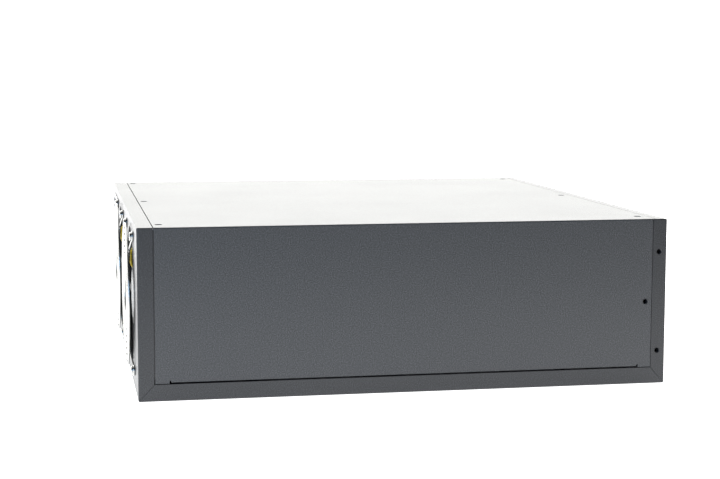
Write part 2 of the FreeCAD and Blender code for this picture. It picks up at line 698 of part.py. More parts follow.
def display_bezel():
    x0, x1 = BEZEL_X
    z0, z1 = BEZEL_Z
    face = rounded_box(x0, x1, FRONT - BEZEL_OUT, FRONT, z0, z1, 4.0)
    rim = box(x0 + 4.2, x1 - 4.2, FRONT, FRONT + 3, z0 + 4.2, z1 - 4.2)
    hollow = box(x0 + 6, x1 - 6, FRONT - 1.0, FRONT + 4, z0 + 6, z1 - 6)
    window = box(WINDOW_X[0] + 2, WINDOW_X[1] - 2, FRONT - 5, FRONT + 1, WINDOW_Z[0] + 2, WINDOW_Z[1] - 2)
    rebate = box(WINDOW_X[0], WINDOW_X[1], FRONT - 5, FRONT - BEZEL_OUT + 1.2, WINDOW_Z[0], WINDOW_Z[1])
    w, h = KEY_SIZE
    keys = [rounded_box(x - w / 2 - 0.3, x + w / 2 + 0.3, FRONT - 5, FRONT + 1,
                        z - h / 2 - 0.3, z + h / 2 + 0.3, 3.0) for x, z in KEY_PLACES.values()]
    lamps = [rod(LAMP_R + CLEARANCE, V(x, FRONT - 5, LAMP_Z), V(x, FRONT + 1, LAMP_Z)) for x in LAMP_X]
    shell = without(joined([face, rim]), [hollow, window, rebate] + keys + lamps)
    return joined([shell] + display_posts())


def display_lens():
    gap = 0.15
    return rounded_box(WINDOW_X[0] + gap, WINDOW_X[1] - gap, FRONT - BEZEL_OUT, FRONT - BEZEL_OUT + 1.1,
                       WINDOW_Z[0] + gap, WINDOW_Z[1] - gap, 0.5)


def screen_module():
    return joined([
        box(WINDOW_X[0] + 1, WINDOW_X[1] - 1, FRONT + 1, DISPLAY_BOARD_Y, WINDOW_Z[0] + 1, WINDOW_Z[1] - 1),
        box(WINDOW_X[0] + 5, WINDOW_X[1] - 5, FRONT, FRONT + 1, WINDOW_Z[0] + 5, WINDOW_Z[1] - 5),
    ])


def display_board():
    """The display's circuit board, with a tact switch behind each key."""
    y = DISPLAY_BOARD_Y
    x0, x1 = BEZEL_X
    z0, z1 = BEZEL_Z
    solids = [box(x0 + 5, x1 - 5, y, y + BOARD, z0 + 3, z1 - 3)]
    for x, z in KEY_PLACES.values():
        body = box(x - 3, x + 3, y - 2, y, z - 3, z + 3)
        button = rod(1.4, V(x, FRONT + 6 + KEY_TRAVEL + 0.2, z), V(x, y - 1.5, z))
        solids.append(joined([body, button]))
    return Part.makeCompound(solids)


def display_posts():
    """Spacers on the bezel's rim that carry the display board."""
    posts = []
    for x in (BEZEL_X[0] + 5.1, BEZEL_X[1] - 5.1):
        for z in (BEZEL_Z[0] + 12, BEZEL_Z[1] - 12):
            posts.append(box(x - 0.8, x + 0.8, FRONT + 2, DISPLAY_BOARD_Y, z - 3, z + 3))
    return posts


def key(place):
    """Key cap with a collar that keeps it behind the bezel and a stem towards its switch."""
    x, z = place
    w, h = KEY_SIZE
    cap = rounded_box(x - w / 2, x + w / 2, FRONT - KEY_OUT, FRONT - 0.7, z - h / 2, z + h / 2, 2.8)
    edges = [e for e in cap.Edges if e.BoundBox.YMax < FRONT - KEY_OUT + 0.01]
    cap = cap.makeFillet(0.6, edges)
    a, b = w / 2 + 1.2, h / 2 + 1.2
    collar = box(x - a, x + a, FRONT - 0.7, FRONT + 0.5, z - b, z + b)
    stem = rod(1.6, V(x, FRONT, z), V(x, FRONT + 6, z))
    return joined([cap, collar, stem])


def status_lamps():
    solids = []
    for x in LAMP_X:
        pipe = rod(LAMP_R, V(x, FRONT - BEZEL_OUT - 0.3, LAMP_Z), V(x, DISPLAY_BOARD_Y, LAMP_Z))
        solids.append(pipe)
    return Part.makeCompound(solids)


# --- Rear sockets ----------------------------------------------------------------------

def socket_shell(x, z, depth):
    fw, fh = SOCKET_FLANGE
    bw, bh = SOCKET_BODY
    flange = rounded_box(x - fw / 2, x + fw / 2, REAR, REAR + FLANGE_PROUD, z - fh / 2, z + fh / 2, 2.5)
    body = box(x - bw / 2, x + bw / 2, REAR - depth, REAR, z - bh / 2, z + bh / 2)
    return joined([flange, body])


def socket_mouth(x, z, depth, grow):
    """The keyed mouth of an appliance connector, with its two lower corners cut off."""
    w = SOCKET_MOUTH[0] / 2 + grow
    h = SOCKET_MOUTH[1] / 2 + grow
    cut = 4.6
    outline = [(-w, h), (w, h), (w, cut - h), (w - cut, -h), (cut - w, -h), (-w, cut - h)]
    corners = [V(x + a, REAR + 3, z + b) for a, b in outline]
    face = Part.Face(Part.makePolygon(corners + corners[:1]))
    return face.extrude(V(0, -3 - depth, 0))


def contact_places(x, z):
    return [(x - 7.0, z - 2.0), (x + 7.0, z - 2.0), (x, z + 2.0)]


def inlet_socket():
    x, z = INLET_PLACE
    shell = without(socket_shell(x, z, 26.0), [socket_mouth(x, z, 18.0, 0.0)])
    slots = [box(a - 1.05, a + 1.05, REAR - 30, REAR, b - 2.05, b + 2.05) for a, b in contact_places(x, z)]
    return without(shell, slots)


def inlet_pins():
    x, z = INLET_PLACE
    solids = [box(a - 1, a + 1, REAR - 30, REAR - 4.0, b - 2, b + 2) for a, b in contact_places(x, z)]
    return Part.makeCompound(solids)


def outlet_sockets():
    """Appliance outlets: a contact block stands in the mouth with a moat round it."""
    solids = []
    for z in OUTLET_Z:
        for x in OUTLET_X:
            moat = without(socket_mouth(x, z, 16.0, 0.0), [socket_mouth(x, z, 17.0, -2.6)])
            slots = []
            for a, b in contact_places(x, z):
                slots.append(box(a - 1.2, a + 1.2, REAR - 14, REAR + 3, b - 2.4, b + 2.4))
            solids.append(without(socket_shell(x, z, 24.0), [moat] + slots))
    return Part.makeCompound(solids)


def breaker_body():
    x, z = BREAKER_PLACE
    ring = rod(7.5, V(x, REAR, z), V(x, REAR + FLANGE_PROUD, z))
    barrel = rod(5.5, V(x, REAR - 8, z), V(x, REAR, z))
    case = box(x - 8, x + 8, REAR - 32, REAR - 8, z - 13, z + 13)
    guide = rod(3.6, V(x, REAR - 11 - BREAKER_TRAVEL, z), V(x, REAR + 3, z))
    return without(joined([ring, barrel, case]), [guide])


def breaker_button():
    x, z = BREAKER_PLACE
    cap = rod(3.3, V(x, REAR - 9, z), V(x, REAR + PORT_PROUD, z))
    rim = [e for e in cap.Edges if e.BoundBox.YMin > REAR + 1]
    return cap.makeFillet(0.5, rim)


def battery_port():
    """Two-way connector for an outside battery pack."""
    x, z = BATTERY_PORT
    flange = rounded_box(x - 15, x + 15, REAR, REAR + FLANGE_PROUD, z - 23, z + 23, 2.5)
    body = box(x - 12, x + 12, REAR - 20, REAR, z - 19, z + 19)
    nose = rounded_box(x - 10, x + 10, REAR, REAR + NOSE_PROUD, z - 17, z + 17, 2.0)
    ways = [box(x - 7, x + 7, REAR - 14, REAR + 6, z + s - 6.5, z + s + 6.5) for s in (-8.2, 8.2)]
    return without(joined([flange, body, nose]), ways)


def earth_stud():
    x, z = EARTH_PLACE
    stud = rod(2.5, V(x, REAR - 8, z), V(x, REAR + NOSE_PROUD, z))
    angles = [math.radians(60 * i) for i in range(6)]
    corners = [V(x + 4.6 * math.cos(a), REAR + 0.5, z + 4.6 * math.sin(a)) for a in angles]
    nut = Part.Face(Part.makePolygon(corners + corners[:1])).extrude(V(0, 1.5, 0))
    washer = rod(5.4, V(x, REAR, z), V(x, REAR + 0.5, z))
    back_nut = rod(4.4, V(x, REAR - SHEET - 3, z), V(x, REAR - SHEET, z))
    return joined([stud, nut, washer, back_nut])


def serial_port():
    z = SERIAL_Z
    flange = rounded_box(PORT_X - 6.2, PORT_X + 6.2, REAR, REAR + 0.8, z - 15.4, z + 15.4, 1.5)
    shell = rounded_box(PORT_X - 4.2, PORT_X + 4.2, REAR, REAR + PORT_PROUD, z - 8.6, z + 8.6, 2.0)
    body = box(PORT_X - 5.4, PORT_X + 5.4, REAR - 10, REAR, z - 9.6, z + 9.6)
    pins = []
    for column, count, offset in ((-1.4, 5, 0.0), (1.4, 4, 1.385)):
        for i in range(count):
            p = z - 5.54 + offset + 2.77 * i
            pins.append(rod(0.5, V(PORT_X + column, REAR + 1, p), V(PORT_X + column, REAR + 6, p)))
    posts = [rod(2.4, V(PORT_X, REAR, z + s), V(PORT_X, REAR + PORT_PROUD, z + s)) for s in (-12.5, 12.5)]
    return without(joined([flange, shell, body] + posts), pins)


def data_ports():
    """A square data port and a pair of network surge ports."""
    return Part.makeCompound([square_port(), network_ports()])


def square_port():
    z = USB_Z
    body = box(PORT_X - 6, PORT_X + 6, REAR - 16, REAR + 0.8, z - 5.5, z + 5.5)
    mouth = box(PORT_X - 4.3, PORT_X + 4.3, REAR - 9, REAR + 2, z - 4.0, z + 4.0)
    tongue = box(PORT_X - 2.8, PORT_X + 2.8, REAR - 10, REAR - 0.8, z - 1.6, z + 1.6)
    return joined([without(body, [mouth]), tongue])


def network_ports():
    low, high = NETWORK_Z
    body = box(PORT_X - 6.8, PORT_X + 6.8, REAR - 18, REAR + 0.8, low - 7.3, high + 7.3)
    mouths = []
    for z in NETWORK_Z:
        mouths.append(box(PORT_X - 3.4, PORT_X + 4.0, REAR - 13, REAR + 2, z - 5.9, z + 5.9))
        mouths.append(box(PORT_X - 5.2, PORT_X - 3.3, REAR - 13, REAR + 2, z - 3.1, z + 3.1))
    return without(body, mouths)


def stop_terminal():
    """Two-way terminal for a remote emergency stop switch."""
    z = STOP_Z
    body = box(PORT_X - 6, PORT_X + 6, REAR - 12, REAR + FLANGE_PROUD, z - 4, z + 4)
    holes = [rod(1.4, V(PORT_X + s, REAR - 6, z), V(PORT_X + s, REAR + 4, z)) for s in (-2.9, 2.9)]
    return without(body, holes)


# --- Electronics -----------------------------------------------------------------------

def flat_board(limits):
    x0, x1, y0, y1 = limits
    return box(x0, x1, y0, y1, BOARD_Z, BOARD_TOP)


def main_board():
    return flat_board(MAIN_BOARD)


def outlet_board():
    return flat_board(OUTLET_BOARD)


def board_standoffs():
    posts = []
    for x0, x1, y0, y1 in (MAIN_BOARD, OUTLET_BOARD):
        for x in (x0 + 6, x1 - 6):
            for y in (y0 + 6, (y0 + y1) / 2, y1 - 6):
                posts.append(rod(3.0, V(x, y, FLOOR), V(x, y, BOARD_Z)))
    return Part.makeCompound(posts)


def heat_sink(x):
    """Extrusion with upright fins on a thick back, standing on the main board."""
    y0, y1 = 10.0, 150.0
    fins = [box(x, x + 5, y0, y1, BOARD_TOP, BOARD_TOP + 72)]
    for i in range(9):
        z = BOARD_TOP + 2 + 8.2 * i
        fins.append(box(x + 4, x + 26, y0, y1, z, z + 2.2))
    return joined(fins)


def heat_sinks():
    return Part.makeCompound([heat_sink(x) for x in (-42.0, 18.0)])


def power_transistors():
    solids = []
    for x in (-47.0, 13.0):
        for i in range(6):
            y = 22.0 + 20.0 * i
            solids.append(box(x, x + 5, y, y + 15.5, BOARD_TOP + 12, BOARD_TOP + 33))
            solids.append(box(x + 2, x + 3, y + 3, y + 12.5, BOARD_TOP, BOARD_TOP + 12))
    return Part.makeCompound(solids)


def bus_capacitors():
    solids = []
    for x in (-40.0, -4.0):
        for y in (-124.0, -88.0, -52.0):
            can = Part.makeCylinder(15.0, 50.0, V(x, y, BOARD_TOP))
            groove = Part.makeTorus(15.6, 1.0, V(x, y, BOARD_TOP + 5))
            solids.append(without(can, [groove]))
    return Part.makeCompound(solids)


def transformer():
    x, y = 55.0, -110.0
    core = box(x - 30, x + 30, y - 12, y + 12, BOARD_TOP, BOARD_TOP + 56)
    low, high = BOARD_TOP + 10, BOARD_TOP + 46
    windows = [box(x + s - 9, x + s + 9, y - 13, y + 13, low, high) for s in (-13.5, 13.5)]
    return without(core, windows)


def transformer_coil():
    x, y = 55.0, -110.0
    low, high = BOARD_TOP + 11, BOARD_TOP + 45
    coil = rounded_coil(x, y, 22.0, 26.0, low, high)
    return without(coil, [box(x - 4.8, x + 4.8, y - 12.3, y + 12.3, low - 1, high + 1)])


def rounded_coil(x, y, half_x, half_y, z0, z1):
    block = box(x - half_x, x + half_x, y - half_y, y + half_y, z0, z1)
    edges = [e for e in block.Edges if abs(e.tangentAt(e.FirstParameter).z) > 0.99]
    return block.makeFillet(8.0, edges)


def chokes():
    """Toroidal chokes standing on the main board."""
    solids = []
    for x, y in ((48.0, -55.0), (76.0, -55.0)):
        centre = V(x, y, BOARD_TOP + 21.2)
        solids.append(Part.makeTorus(14.5, 6.5, centre, V(1, 0, 0)))
    return Part.makeCompound(solids)


def relays():
    solids = []
    for i in range(4):
        x = 118.0 + 22.0 * i
        solids.append(box(x, x + 16, 126, 156, BOARD_TOP, BOARD_TOP + 22))
    return Part.makeCompound(solids)


def mains_filter():
    case = box(120, 200, 72, 112, BOARD_TOP, BOARD_TOP + 26)
    edges = [e for e in case.Edges if abs(e.tangentAt(e.FirstParameter).z) > 0.99]
    return case.makeFillet(3.0, edges)


def control_board():
    return box(CONTROL_BOARD_X, CONTROL_BOARD_X + BOARD, -20, 130, BOARD_TOP + 8, BOARD_TOP + 92)


def control_parts():
    """What the control board carries: its header, its chips and the alarm buzzer."""
    header = box(CONTROL_BOARD_X - 3, CONTROL_BOARD_X + BOARD + 3, 0, 60, BOARD_TOP, BOARD_TOP + 8)
    solids = [header, buzzer()]
    x = CONTROL_BOARD_X - 2.5
    chips = ((10, 40, 22, 22), (50, 30, 14, 10), (50, 55, 18, 12), (90, 40, 20, 14), (90, 66, 12, 8))
    for y, z, w, h in chips:
        solids.append(box(x, CONTROL_BOARD_X, y, y + w, BOARD_TOP + z, BOARD_TOP + z + h))
    return Part.makeCompound(solids)


def buzzer():
    y, z = 112.0, BOARD_TOP + 24
    body = rod(7.0, V(CONTROL_BOARD_X - 9, y, z), V(CONTROL_BOARD_X, y, z))
    hole = rod(1.2, V(CONTROL_BOARD_X - 10, y, z), V(CONTROL_BOARD_X - 6, y, z))
    return without(body, [hole])


def ribbon_cable():
    """Flat cable from the display board back to the top of the control board."""
    z = BOARD_TOP + 93.0
    thick = 1.0
    y0 = DISPLAY_BOARD_Y + BOARD
    x0, x1 = 80.0, 106.0
    drop = box(x0 + 10, x1, y0, y0 + thick, BEZEL_Z[1] - 20, z + thick)
    run = box(x0 + 10, x1, y0, 40, z, z + thick)
    return joined([drop, run])


def battery_harness():
    """Heavy leads from the drawer's connector, round the divider's end, to the main board."""
    x = (TRAY_X[0] + TRAY_X[1]) / 2
    y = TRAY_FRONT_Y + TRAY_LENGTH + 17 + 12
    solids = []
    for s, turn_y, z, end_x in ((-9.0, 164.0, BASE + 31, -52.0), (9.0, 158.0, BASE + 25, -46.0)):
        points = [
            V(x + s, y, z),
            V(x + s, turn_y, z),
            V(end_x, turn_y, z),
            V(end_x, turn_y, BOARD_TOP),
        ]
        solids.append(wire_run(points, 2.2))
    return Part.makeCompound(solids)


def inlet_leads():
    """Leads from the inlet's pins to the outlet board."""
    solids = []
    for (a, b), end_y in zip(contact_places(*INLET_PLACE), (162.0, 162.0, 159.0)):
        points = [V(a, REAR - 30, b), V(a, end_y, b), V(a, end_y, BOARD_TOP)]
        solids.append(wire_run(points, 1.2))
    return Part.makeCompound(solids)


PARTS = {
    "base_pan": base_pan,
    "rear_panel": rear_panel,
    "front_panel": front_panel,
    "cover_lips": cover_lips,
    "top_cover": top_cover,
    "feet": feet,
    "case_screws": case_screws,
    "ear_inserts": ear_inserts,
    "fan_screws": fan_screws,
    "battery_tray": battery_tray,
    "drawer_front": drawer_front,
    "thumb_screws": thumb_screws,
    "batteries": batteries,
    "battery_links": battery_links,
    "battery_plug": battery_plug,
    "battery_receptacle": battery_receptacle,
    "drawer_rails": drawer_rails,
    "divider": divider,
    "display_bezel": display_bezel,
    "display_lens": display_lens,
    "screen_module": screen_module,
    "display_board": display_board,
    "status_lamps": status_lamps,
    "inlet_socket": inlet_socket,
    "inlet_pins": inlet_pins,
    "outlet_sockets": outlet_sockets,
    "breaker_body": breaker_body,
    "breaker_button": breaker_button,
    "battery_port": battery_port,
    "earth_stud": earth_stud,
    "serial_port": serial_port,
    "data_ports": data_ports,
    "stop_terminal": stop_terminal,
    "main_board": main_board,
    "outlet_board": outlet_board,
    "board_standoffs": board_standoffs,
    "heat_sinks": heat_sinks,
    "power_transistors": power_transistors,
    "bus_capacitors": bus_capacitors,
    "transformer": transformer,
    "transformer_coil": transformer_coil,
    "chokes": chokes,
    "relays": relays,
    "mains_filter": mains_filter,
    "control_board": control_board,
    "control_parts": control_parts,
    "ribbon_cable": ribbon_cable,
    "battery_harness": battery_harness,
    "inlet_leads": inlet_leads,
}

os.makedirs("parts", exist_ok=True)


def export(name, shape):
    bad = [s for s in shape.Solids if not s.isValid()]
    print(name, len(shape.Solids), "solids", round(shape.Volume), "INVALID" if bad else "")
    shape.exportStep("parts/" + name + ".step")


for part_name, make in PARTS.items():
    export(part_name, make())

for key_name, key_place in KEY_PLACES.items():
    export(key_name, key(key_place))

for letter, fan_x in zip("ab", FAN_X):
    export("fan_frame_" + letter, fan_frame(fan_x))
    export("fan_rotor_" + letter, fan_rotor(fan_x))
    export("fan_guard_" + letter, fan_guard(fan_x))

export("fan_leads", Part.makeCompound([fan_lead(x) for x in FAN_X]))
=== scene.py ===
import json
import math

import bmesh
import bpy
from mathutils import Matrix, Vector


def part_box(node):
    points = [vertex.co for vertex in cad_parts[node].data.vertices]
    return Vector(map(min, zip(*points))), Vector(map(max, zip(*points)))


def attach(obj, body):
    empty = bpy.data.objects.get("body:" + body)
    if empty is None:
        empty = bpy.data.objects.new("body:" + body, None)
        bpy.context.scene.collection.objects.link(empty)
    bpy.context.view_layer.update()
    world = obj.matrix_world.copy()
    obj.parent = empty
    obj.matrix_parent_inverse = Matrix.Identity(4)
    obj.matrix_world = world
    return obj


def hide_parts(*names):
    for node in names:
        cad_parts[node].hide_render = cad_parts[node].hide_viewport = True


# A rack-mount uninterruptible power supply: dark powder-coated case, two fans behind bright wire
# guards at the rear, a display, keys and a battery drawer at the front. Everything is in metres.

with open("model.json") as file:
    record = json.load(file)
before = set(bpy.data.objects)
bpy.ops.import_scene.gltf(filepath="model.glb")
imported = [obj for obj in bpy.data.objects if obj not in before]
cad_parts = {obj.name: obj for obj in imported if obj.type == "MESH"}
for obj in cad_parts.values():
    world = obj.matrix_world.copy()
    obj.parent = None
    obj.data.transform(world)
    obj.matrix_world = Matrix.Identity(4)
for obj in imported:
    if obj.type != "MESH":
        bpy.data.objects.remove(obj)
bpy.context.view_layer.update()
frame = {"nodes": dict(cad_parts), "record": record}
RECORD = frame["record"]
SLOT_OF = {part["node"]: part["material_slot"] for part in RECORD["subparts"]}
BODY_OF = {node: body for body, nodes in RECORD["behaviour"]["bodies"].items() for node in nodes}

MM = 0.001
WHITE = (1.0, 1.0, 1.0, 1.0)


# --- Camera and stage --------------------------------------------------------------------

LENS = 80.58
CAMERA_PLACE = Vector((-1.42087, 0.26727, 0.26335))
CAMERA_FORWARD = Vector((0.97596, -0.18574, -0.11405)).normalized()
CAMERA_RIGHT = Vector((-0.18673, -0.98241, 0.00203))

SKY_FRONT = 0.04
SKY_BEHIND = 2.86
SKY_COLOUR = (1.0, 1.0, 0.98, 1.0)
SKY_ABOVE = 0.30
# Emission strengths of the floor's painted pool of light, and where it dims in front of the case.
FLOOR_NEAR = 1.40
FLOOR_BEHIND = 2.2
FLOOR_DIM = 0.15
FLOOR_EDGE = -0.50
OVERHEAD_POWER = 40.0
COOL_POWER = 7.0
COOL_COLOUR = (0.36, 0.64, 1.0)
FLOOR_REACH = 12.0


def make_camera():
    """Long lens at the left of the case, a little behind it and a little above."""
    data = bpy.data.cameras.new("camera")
    data.lens = LENS
    data.sensor_width = 36.0
    data.clip_end = 50.0
    data.shift_x = -0.0007
    data.shift_y = 0.0003
    camera = bpy.data.objects.new("camera", data)
    right = (CAMERA_RIGHT - CAMERA_FORWARD * CAMERA_RIGHT.dot(CAMERA_FORWARD)).normalized()
    up = right.cross(CAMERA_FORWARD)
    turn = Matrix((right, up, -CAMERA_FORWARD)).transposed()
    camera.matrix_world = Matrix.Translation(CAMERA_PLACE) @ turn.to_4x4()
    bpy.context.scene.collection.objects.link(camera)
    bpy.context.scene.camera = camera


def area_light(name, place, aim, size, power, colour=(1.0, 1.0, 1.0)):
    data = bpy.data.lights.new(name, "AREA")
    data.shape = "RECTANGLE"
    data.size, data.size_y = size
    data.energy = power
    data.color = colour
    light = bpy.data.objects.new(name, data)
    direction = Vector(aim) - Vector(place)
    turn = direction.to_track_quat("-Z", "Y").to_matrix().to_4x4()
    light.matrix_world = Matrix.Translation(Vector(place)) @ turn
    bpy.context.scene.collection.objects.link(light)


def stepped(tree, factor, start, end, low, high):
    """A smooth change from low to high while factor goes from start to end."""
    node = tree.nodes.new("ShaderNodeMapRange")
    node.interpolation_type = "SMOOTHSTEP"
    for name, value in (("From Min", start), ("From Max", end), ("To Min", low), ("To Max", high)):
        node.inputs[name].default_value = value
    tree.links.new(factor, node.inputs["Value"])
    return node.outputs["Result"]


def product(tree, a, b):
    node = tree.nodes.new("ShaderNodeMath")
    node.operation = "MULTIPLY"
    tree.links.new(a, node.inputs[0])
    tree.links.new(b, node.inputs[1])
    return node.outputs["Value"]


def axes_of(tree, output):
    coords = tree.nodes.new("ShaderNodeTexCoord")
    split = tree.nodes.new("ShaderNodeSeparateXYZ")
    tree.links.new(coords.outputs[output], split.inputs["Vector"])
    return split.outputs


def make_world():
    """Soft surroundings: bright low down behind the case, dim on the camera's side."""
    world = bpy.data.worlds.new("studio")
    world.use_nodes = True
    tree = world.node_tree
    axes = axes_of(tree, "Generated")
    around = stepped(tree, axes["X"], 0.25, 0.85, SKY_FRONT, SKY_BEHIND)
    upward = stepped(tree, axes["Z"], 0.25, 0.75, 1.0, SKY_ABOVE)
    tree.links.new(product(tree, around, upward), tree.nodes["Background"].inputs["Strength"])
    tree.nodes["Background"].inputs["Color"].default_value = SKY_COLOUR
    bpy.context.scene.world = world


def painted_glow_floor():
    """White paper that glows: its emission paints a pool of light, brightest round the case and behind it,
    dim in front.
    """
    mat = Nodes("studio_floor")
    mat.colour(mat.ramp(mat.noise(3.0), [(0.3, (0.80, 0.80, 0.80)), (0.7, (0.83, 0.83, 0.83))]))
    mat.set(Roughness=0.9)
    # Painted pool of light: emission, not the lamps, makes the floor bright round the case and behind it and
    # dim in front.
    x = axes_of(mat.tree, "Object")["X"]
    near = stepped(mat.tree, x, FLOOR_EDGE - 0.5, FLOOR_EDGE, FLOOR_DIM, FLOOR_NEAR)
    far = stepped(mat.tree, x, 0.2, 0.6, 1.0, FLOOR_BEHIND / FLOOR_NEAR)
    mat.link(product(mat.tree, near, far), mat.shader.inputs["Emission Strength"])
    mat.shader.inputs["Emission Color"].default_value = WHITE
    return mat.material


def make_studio():
    make_world()
    area_light("overhead", (0.9, 0.1, 2.2), (0.0, 0.0, 0.0), (3.2, 3.2), OVERHEAD_POWER)
    area_light("cool_side", (-1.6, 1.0, 0.45), (-0.2, 0.15, 0.1), (0.5, 0.5), COOL_POWER,
               COOL_COLOUR)

    floor = bpy.data.meshes.new("floor")
    corners = [(x * FLOOR_REACH, y * FLOOR_REACH, 0) for x, y in ((-1, -1), (1, -1), (1, 1), (-1, 1))]
    floor.from_pydata(corners, [], [(0, 1, 2, 3)])
    ground = bpy.data.objects.new("floor", floor)
    bpy.context.scene.collection.objects.link(ground)
    floor.materials.append(painted_glow_floor())

    settings = bpy.context.scene.view_settings
    settings.view_transform = "Standard"
    settings.look = "None"
    settings.exposure = 0.0


# --- Materials ---------------------------------------------------------------------------

class Nodes:
    """A material's node tree with short calls for the few nodes used here."""

    def __init__(self, name):
        self.material = bpy.data.materials.new(name)
        self.material.use_nodes = True
        self.tree = self.material.node_tree
        self.shader = self.tree.nodes["Principled BSDF"]
        self.coords = self.tree.nodes.new("ShaderNodeTexCoord").outputs["Object"]

    def set(self, **values):
        for key, value in values.items():
            self.shader.inputs[key.replace("_", " ")].default_value = value

    def link(self, a, b):
        self.tree.links.new(a, b)

    def noise(self, scale, detail=3.0, roughness=0.5):
        node = self.tree.nodes.new("ShaderNodeTexNoise")
        node.inputs["Scale"].default_value = scale
        node.inputs["Detail"].default_value = detail
        node.inputs["Roughness"].default_value = roughness
        self.link(self.coords, node.inputs["Vector"])
        return node.outputs["Fac"]

    def stretched_noise(self, scale, stretch, detail=3.0):
        mapping = self.tree.nodes.new("ShaderNodeMapping")
        mapping.inputs["Scale"].default_value = stretch
        self.link(self.coords, mapping.inputs["Vector"])
        node = self.tree.nodes.new("ShaderNodeTexNoise")
        node.inputs["Scale"].default_value = scale
        node.inputs["Detail"].default_value = detail
        self.link(mapping.outputs["Vector"], node.inputs["Vector"])
        return node.outputs["Fac"]

    def cells(self, scale, feature="F1", output="Distance"):
        node = self.tree.nodes.new("ShaderNodeTexVoronoi")
        node.feature = feature
        node.inputs["Scale"].default_value = scale
        self.link(self.coords, node.inputs["Vector"])
        return node.outputs[output]

    def ramp(self, factor, stops):
        node = self.tree.nodes.new("ShaderNodeValToRGB")
        elements = node.color_ramp.elements
        while len(elements) < len(stops):
            elements.new(0.5)
        for element, (place, colour) in zip(elements, stops):
            element.position = place
            element.color = (*colour, 1.0)
        self.link(factor, node.inputs["Fac"])
        return node.outputs["Color"]

    def span(self, factor, low, high):
        node = self.tree.nodes.new("ShaderNodeMapRange")
        node.inputs["To Min"].default_value = low
        node.inputs["To Max"].default_value = high
        self.link(factor, node.inputs["Value"])
        return node.outputs["Result"]

    def colour(self, socket):
        self.link(socket, self.shader.inputs["Base Color"])

    def roughness(self, socket):
        self.link(socket, self.shader.inputs["Roughness"])

    def bump(self, heights):
        """Chains bumps of (height socket, depth in metres, strength)."""
        normal = None
        for height, depth, strength in heights:
            node = self.tree.nodes.new("ShaderNodeBump")
            node.inputs["Distance"].default_value = depth
            node.inputs["Strength"].default_value = strength
            self.link(height, node.inputs["Height"])
            if normal is not None:
                self.link(normal, node.inputs["Normal"])
            normal = node.outputs["Normal"]
        self.link(normal, self.shader.inputs["Normal"])


def shade(colour, factor):
    return tuple(min(1.0, c * factor) for c in colour)


def powder_coat(name, colour):
    """Fine-textured paint: small uneven grains under a satin skin, with a faint mottle."""
    mat = Nodes(name)
    grain = mat.noise(1150.0, 4.0, 0.75)
    mottle = mat.noise(12.0, 2.0)
    mat.colour(mat.ramp(grain, [(0.34, shade(colour, 0.42)), (0.5, colour),
                                (0.68, shade(colour, 2.3))]))
    mat.roughness(mat.span(mottle, 0.30, 0.34))
    mat.bump([(grain, 0.00010, 0.55)])
    mat.set(IOR=1.55)
    return mat.material


def plated(name, colour, rough):
    mat = Nodes(name)
    haze = mat.noise(160.0, 4.0)
    mat.colour(mat.ramp(haze, [(0.3, shade(colour, 0.86)), (0.7, colour)]))
    mat.roughness(mat.span(haze, rough, rough + 0.14))
    mat.bump([(mat.noise(1400.0), 0.00003, 0.5)])
    mat.set(Metallic=1.0)
    return mat.material


def zinc(name, colour):
    """Zinc-plated sheet: cloudy spangle with fine rolling lines."""
    mat = Nodes(name)
    spangle = mat.cells(130.0)
    lines = mat.stretched_noise(60.0, (1.0, 30.0, 30.0))
    mat.colour(mat.ramp(spangle, [(0.0, shade(colour, 0.80)), (1.0, colour)]))
    mat.roughness(mat.span(lines, 0.28, 0.48))
    mat.bump([(lines, 0.00005, 0.4)])
    mat.set(Metallic=1.0)
    return mat.material


def moulded(name, colour, rough, grain_scale=1500.0, depth=0.00008):
    """Moulded plastic with a fine spark-eroded grain and a slightly uneven tone."""
    mat = Nodes(name)
    grain = mat.noise(grain_scale, 2.0)
    cloud = mat.noise(45.0, 3.0)
    mat.colour(mat.ramp(cloud, [(0.3, shade(colour, 0.85)), (0.7, shade(colour, 1.12))]))
    mat.roughness(mat.span(grain, rough - 0.08, rough + 0.08))
    mat.bump([(grain, depth, 0.6)])
    return mat.material


def circuit_board(name, colour):
    """Solder mask over tracks: darker lines round cells, with pale pads."""
    mat = Nodes(name)
    tracks = mat.cells(220.0, "DISTANCE_TO_EDGE")
    pads = mat.cells(300.0)
    base = mat.ramp(tracks, [(0.04, shade(colour, 1.7)), (0.09, colour)])
    pad = mat.ramp(pads, [(0.10, (1.0, 1.0, 1.0)), (0.14, (0.0, 0.0, 0.0))])
    mix = mat.tree.nodes.new("ShaderNodeMix")
    mix.data_type = "RGBA"
    mix.inputs["B"].default_value = (0.72, 0.70, 0.60, 1.0)
    mat.link(pad, mix.inputs["Factor"])
    mat.link(base, mix.inputs["A"])
    mat.colour(mix.outputs["Result"])
    mat.roughness(mat.span(tracks, 0.30, 0.45))
    mat.bump([(tracks, 0.00005, 0.5)])
    return mat.material


def clear_plastic(name, colour, alpha):
    mat = Nodes(name)
    smear = mat.noise(70.0, 3.0)
    mat.colour(mat.ramp(smear, [(0.3, shade(colour, 0.94)), (0.7, colour)]))
    mat.roughness(mat.span(smear, 0.04, 0.10))
    mat.set(Alpha=alpha, IOR=1.49)
    return mat.material


def wound(name, colour, rough, turns):
    """Enamelled wire or tape laid in close turns, with painted shade in the grooves between them."""
    mat = Nodes(name)
    wave = mat.tree.nodes.new("ShaderNodeTexWave")
    wave.inputs["Scale"].default_value = turns
    wave.inputs["Distortion"].default_value = 0.6
    mat.link(mat.coords, wave.inputs["Vector"])
    # Painted shade: the ramp darkens the low parts of the wave, the grooves between turns that the bump
    # makes.
    mat.colour(mat.ramp(wave.outputs["Fac"], [(0.1, shade(colour, 0.45)), (0.5, colour)]))
    mat.roughness(mat.span(wave.outputs["Fac"], rough, rough + 0.15))
    mat.bump([(wave.outputs["Fac"], 0.0003, 0.7)])
    return mat.material


